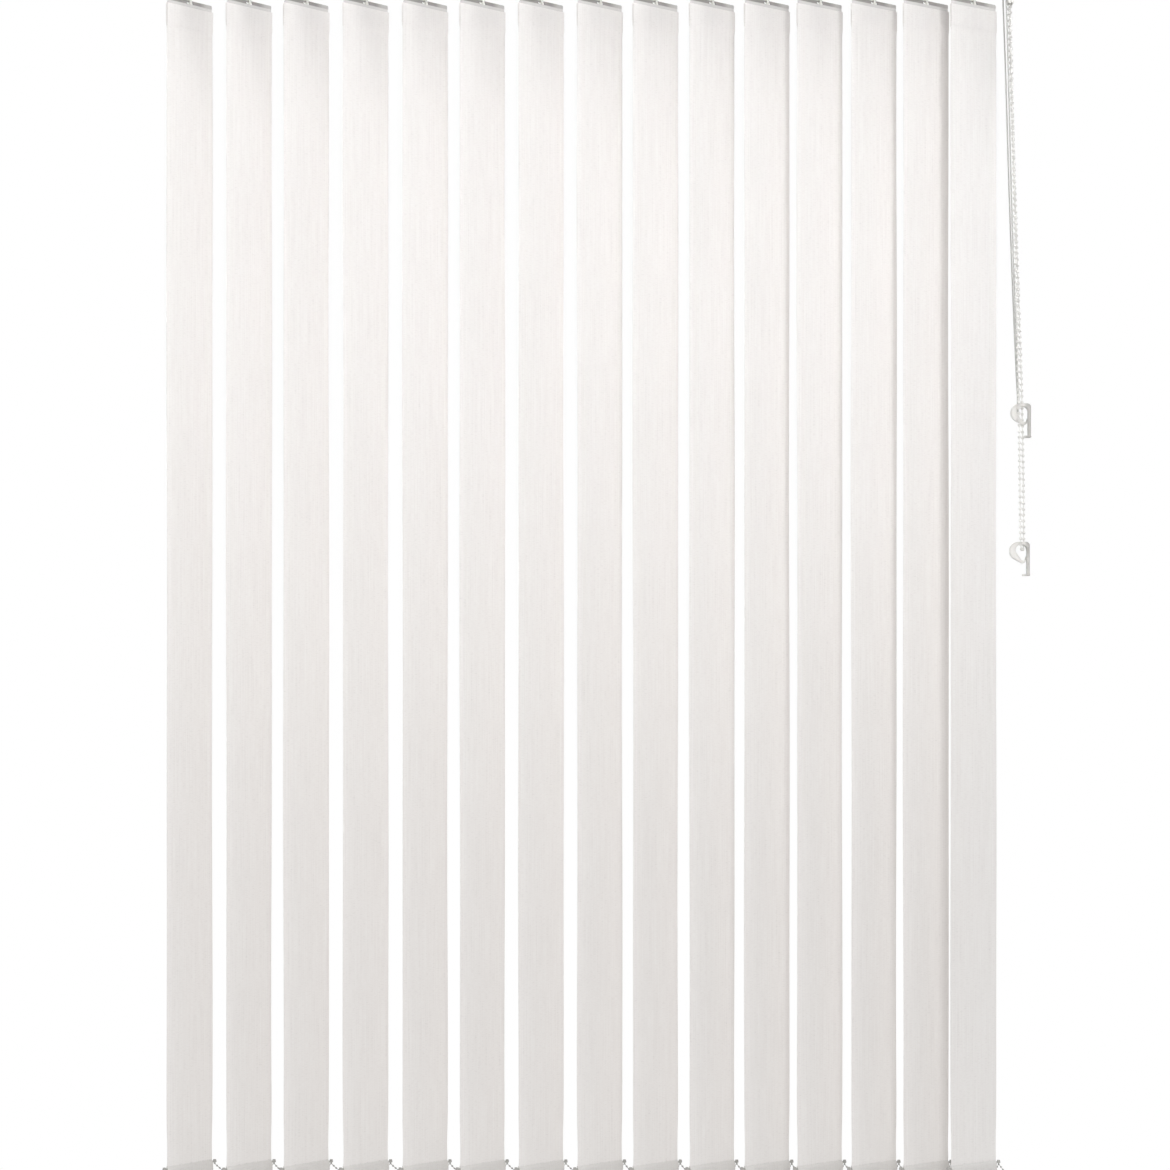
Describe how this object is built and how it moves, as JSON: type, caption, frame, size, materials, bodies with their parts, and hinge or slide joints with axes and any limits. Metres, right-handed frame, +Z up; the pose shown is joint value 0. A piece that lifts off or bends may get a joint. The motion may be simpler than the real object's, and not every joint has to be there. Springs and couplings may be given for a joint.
{
  "type": "vertical blind",
  "caption": "Vertical blind: fabric slats hang from carriers in a ceiling headrail, with a traverse cord, a tilt chain, weighted hems and link chains.",
  "frame": {"origin": "on the ceiling plane, midway between the two ceiling brackets' screw holes", "axes": "+X along the headrail towards the controls, -Y towards the room, +Z up"},
  "size_m": [1.1838, 0.0848, 1.646],
  "materials": {
    "aluminium": "satin anodised",
    "white_plastic": "moulded",
    "bracket_steel": "zinc plated",
    "cord": "braided",
    "chain_plastic": "moulded",
    "tidy_plastic": "moulded",
    "link_chain_plastic": "moulded",
    "clear_plastic": "clear moulded",
    "slat_fabric": "woven"
  },
  "bodies": {
    "fixed": {"headrail": "aluminium", "control_end_cap": "white_plastic", "far_end_cap": "white_plastic", "ceiling_brackets": "bracket_steel", "traverse_cord": "cord", "tilt_chain": "chain_plastic", "cord_tidy": "tidy_plastic", "chain_tidy": "tidy_plastic", "carrier_15": "white_plastic"},
    "tilt_drive": {"tilt_rod": "aluminium", "chain_sprocket": "white_plastic"},
    "return_pulley": {"return_pulley": "white_plastic"},
    "cord_pulley_front": {"cord_pulley_front": "white_plastic"},
    "cord_pulley_rear": {"cord_pulley_rear": "white_plastic"},
    "front_link_chain": {"front_link_chain": "link_chain_plastic"},
    "rear_link_chain": {"rear_link_chain": "link_chain_plastic"},
    "carrier_01": {"carrier_01": "white_plastic"},
    "slat_01": {"slat_fittings_01": "clear_plastic", "slat_01": "slat_fabric"},
    "carrier_02": {"carrier_02": "white_plastic"},
    "slat_02": {"slat_fittings_02": "clear_plastic", "slat_02": "slat_fabric"},
    "carrier_03": {"carrier_03": "white_plastic"},
    "slat_03": {"slat_fittings_03": "clear_plastic", "slat_03": "slat_fabric"},
    "carrier_04": {"carrier_04": "white_plastic"},
    "slat_04": {"slat_fittings_04": "clear_plastic", "slat_04": "slat_fabric"},
    "carrier_05": {"carrier_05": "white_plastic"},
    "slat_05": {"slat_fittings_05": "clear_plastic", "slat_05": "slat_fabric"},
    "carrier_06": {"carrier_06": "white_plastic"},
    "slat_06": {"slat_fittings_06": "clear_plastic", "slat_06": "slat_fabric"},
    "carrier_07": {"carrier_07": "white_plastic"},
    "slat_07": {"slat_fittings_07": "clear_plastic", "slat_07": "slat_fabric"},
    "carrier_08": {"carrier_08": "white_plastic"},
    "slat_08": {"slat_fittings_08": "clear_plastic", "slat_08": "slat_fabric"},
    "carrier_09": {"carrier_09": "white_plastic"},
    "slat_09": {"slat_fittings_09": "clear_plastic", "slat_09": "slat_fabric"},
    "carrier_10": {"carrier_10": "white_plastic"},
    "slat_10": {"slat_fittings_10": "clear_plastic", "slat_10": "slat_fabric"},
    "carrier_11": {"carrier_11": "white_plastic"},
    "slat_11": {"slat_fittings_11": "clear_plastic", "slat_11": "slat_fabric"},
    "carrier_12": {"carrier_12": "white_plastic"},
    "slat_12": {"slat_fittings_12": "clear_plastic", "slat_12": "slat_fabric"},
    "carrier_13": {"carrier_13": "white_plastic"},
    "slat_13": {"slat_fittings_13": "clear_plastic", "slat_13": "slat_fabric"},
    "carrier_14": {"carrier_14": "white_plastic"},
    "slat_14": {"slat_fittings_14": "clear_plastic", "slat_14": "slat_fabric"},
    "slat_15": {"slat_fittings_15": "clear_plastic", "slat_15": "slat_fabric"}
  },
  "joints": [
    {"name": "traverse", "type": "slide", "parent": "fixed", "child": "carrier_01", "axis": [1, 0, 0], "range_m": [0, 0.6752], "deforming": ["front_link_chain", "rear_link_chain"]},
    {"name": "traverse_02", "type": "slide", "parent": "fixed", "child": "carrier_02", "axis": [1, 0, 0], "range_m": [0, 0.62401]},
    {"name": "traverse_03", "type": "slide", "parent": "fixed", "child": "carrier_03", "axis": [1, 0, 0], "range_m": [0, 0.57473]},
    {"name": "traverse_04", "type": "slide", "parent": "fixed", "child": "carrier_04", "axis": [1, 0, 0], "range_m": [0, 0.52353]},
    {"name": "traverse_05", "type": "slide", "parent": "fixed", "child": "carrier_05", "axis": [1, 0, 0], "range_m": [0, 0.47233]},
    {"name": "traverse_06", "type": "slide", "parent": "fixed", "child": "carrier_06", "axis": [1, 0, 0], "range_m": [0, 0.42305]},
    {"name": "traverse_07", "type": "slide", "parent": "fixed", "child": "carrier_07", "axis": [1, 0, 0], "range_m": [0, 0.37249]},
    {"name": "traverse_08", "type": "slide", "parent": "fixed", "child": "carrier_08", "axis": [1, 0, 0], "range_m": [0, 0.32193]},
    {"name": "traverse_09", "type": "slide", "parent": "fixed", "child": "carrier_09", "axis": [1, 0, 0], "range_m": [0, 0.27393]},
    {"name": "traverse_10", "type": "slide", "parent": "fixed", "child": "carrier_10", "axis": [1, 0, 0], "range_m": [0, 0.22529]},
    {"name": "traverse_11", "type": "slide", "parent": "fixed", "child": "carrier_11", "axis": [1, 0, 0], "range_m": [0, 0.17793]},
    {"name": "traverse_12", "type": "slide", "parent": "fixed", "child": "carrier_12", "axis": [1, 0, 0], "range_m": [0, 0.13249]},
    {"name": "traverse_13", "type": "slide", "parent": "fixed", "child": "carrier_13", "axis": [1, 0, 0], "range_m": [0, 0.08577]},
    {"name": "traverse_14", "type": "slide", "parent": "fixed", "child": "carrier_14", "axis": [1, 0, 0], "range_m": [0, 0.04097]},
    {"name": "tilt", "type": "hinge", "parent": "carrier_01", "child": "slat_01", "pos_m": [-0.532, 0, -0.04], "axis": [0, 0, 1], "range_deg": [-26.55, 112.15], "deforming": ["tilt_chain"]},
    {"name": "tilt_02", "type": "hinge", "parent": "carrier_02", "child": "slat_02", "pos_m": [-0.452, 0, -0.04], "axis": [0, 0, 1], "range_deg": [-26.55, 112.15]},
    {"name": "tilt_03", "type": "hinge", "parent": "carrier_03", "child": "slat_03", "pos_m": [-0.375, 0, -0.04], "axis": [0, 0, 1], "range_deg": [-26.55, 112.15]},
    {"name": "tilt_04", "type": "hinge", "parent": "carrier_04", "child": "slat_04", "pos_m": [-0.295, 0, -0.04], "axis": [0, 0, 1], "range_deg": [-26.55, 112.15]},
    {"name": "tilt_05", "type": "hinge", "parent": "carrier_05", "child": "slat_05", "pos_m": [-0.215, 0, -0.04], "axis": [0, 0, 1], "range_deg": [-26.55, 112.15]},
    {"name": "tilt_06", "type": "hinge", "parent": "carrier_06", "child": "slat_06", "pos_m": [-0.138, 0, -0.04], "axis": [0, 0, 1], "range_deg": [-26.55, 112.15]},
    {"name": "tilt_07", "type": "hinge", "parent": "carrier_07", "child": "slat_07", "pos_m": [-0.059, 0, -0.04], "axis": [0, 0, 1], "range_deg": [-26.55, 112.15]},
    {"name": "tilt_08", "type": "hinge", "parent": "carrier_08", "child": "slat_08", "pos_m": [0.02, 0, -0.04], "axis": [0, 0, 1], "range_deg": [-26.55, 112.15]},
    {"name": "tilt_09", "type": "hinge", "parent": "carrier_09", "child": "slat_09", "pos_m": [0.095, 0, -0.04], "axis": [0, 0, 1], "range_deg": [-26.55, 112.15]},
    {"name": "tilt_10", "type": "hinge", "parent": "carrier_10", "child": "slat_10", "pos_m": [0.171, 0, -0.04], "axis": [0, 0, 1], "range_deg": [-26.55, 112.15]},
    {"name": "tilt_11", "type": "hinge", "parent": "carrier_11", "child": "slat_11", "pos_m": [0.245, 0, -0.04], "axis": [0, 0, 1], "range_deg": [-26.55, 112.15]},
    {"name": "tilt_12", "type": "hinge", "parent": "carrier_12", "child": "slat_12", "pos_m": [0.316, 0, -0.04], "axis": [0, 0, 1], "range_deg": [-26.55, 112.15]},
    {"name": "tilt_13", "type": "hinge", "parent": "carrier_13", "child": "slat_13", "pos_m": [0.389, 0, -0.04], "axis": [0, 0, 1], "range_deg": [-26.55, 112.15]},
    {"name": "tilt_14", "type": "hinge", "parent": "carrier_14", "child": "slat_14", "pos_m": [0.459, 0, -0.04], "axis": [0, 0, 1], "range_deg": [-26.55, 112.15]},
    {"name": "tilt_15", "type": "hinge", "parent": "fixed", "child": "slat_15", "pos_m": [0.523, 0, -0.04], "axis": [0, 0, 1], "range_deg": [-26.55, 112.15]},
    {"name": "rod_turn", "type": "hinge", "parent": "fixed", "child": "tilt_drive", "pos_m": [0, -0.0086, -0.019], "axis": [1, 0, 0], "continuous": true},
    {"name": "return_pulley_turn", "type": "hinge", "parent": "fixed", "child": "return_pulley", "pos_m": [-0.564, 0, -0.013], "axis": [0, 0, 1], "continuous": true},
    {"name": "cord_pulley_front_turn", "type": "hinge", "parent": "fixed", "child": "cord_pulley_front", "pos_m": [0.5595, -0.0165, -0.018], "axis": [0, 1, 0], "continuous": true},
    {"name": "cord_pulley_rear_turn", "type": "hinge", "parent": "fixed", "child": "cord_pulley_rear", "pos_m": [0.5595, 0.0165, -0.018], "axis": [0, 1, 0], "continuous": true},
    {"name": "front_link_pivot", "type": "hinge", "parent": "slat_08", "child": "front_link_chain", "pos_m": [-0.01356, -0.03625, -1.612], "axis": [0, 0, 1], "range_deg": [-112.15, 26.55]},
    {"name": "rear_link_pivot", "type": "hinge", "parent": "slat_08", "child": "rear_link_chain", "pos_m": [0.05356, 0.03625, -1.612], "axis": [0, 0, 1], "range_deg": [-112.15, 26.55]}
  ],
  "couplings": [
    {"joint": "traverse_02", "follows": "traverse", "ratio": 0.92417},
    {"joint": "traverse_03", "follows": "traverse", "ratio": 0.85118},
    {"joint": "traverse_04", "follows": "traverse", "ratio": 0.77536},
    {"joint": "traverse_05", "follows": "traverse", "ratio": 0.69953},
    {"joint": "traverse_06", "follows": "traverse", "ratio": 0.62654},
    {"joint": "traverse_07", "follows": "traverse", "ratio": 0.55166},
    {"joint": "traverse_08", "follows": "traverse", "ratio": 0.47678},
    {"joint": "traverse_09", "follows": "traverse", "ratio": 0.40569},
    {"joint": "traverse_10", "follows": "traverse", "ratio": 0.33365},
    {"joint": "traverse_11", "follows": "traverse", "ratio": 0.26351},
    {"joint": "traverse_12", "follows": "traverse", "ratio": 0.19621},
    {"joint": "traverse_13", "follows": "traverse", "ratio": 0.12701},
    {"joint": "traverse_14", "follows": "traverse", "ratio": 0.060664},
    {"joint": "tilt_02", "follows": "tilt", "ratio": 1},
    {"joint": "tilt_03", "follows": "tilt", "ratio": 1},
    {"joint": "tilt_04", "follows": "tilt", "ratio": 1},
    {"joint": "tilt_05", "follows": "tilt", "ratio": 1},
    {"joint": "tilt_06", "follows": "tilt", "ratio": 1},
    {"joint": "tilt_07", "follows": "tilt", "ratio": 1},
    {"joint": "tilt_08", "follows": "tilt", "ratio": 1},
    {"joint": "tilt_09", "follows": "tilt", "ratio": 1},
    {"joint": "tilt_10", "follows": "tilt", "ratio": 1},
    {"joint": "tilt_11", "follows": "tilt", "ratio": 1},
    {"joint": "tilt_12", "follows": "tilt", "ratio": 1},
    {"joint": "tilt_13", "follows": "tilt", "ratio": 1},
    {"joint": "tilt_14", "follows": "tilt", "ratio": 1},
    {"joint": "tilt_15", "follows": "tilt", "ratio": 1},
    {"joint": "rod_turn", "follows": "tilt", "ratio": 12},
    {"joint": "return_pulley_turn", "follows": "traverse", "rad_per_m": 60.606},
    {"joint": "front_link_pivot", "follows": "tilt", "ratio": -1},
    {"joint": "rear_link_pivot", "follows": "tilt", "ratio": -1}
  ]
}
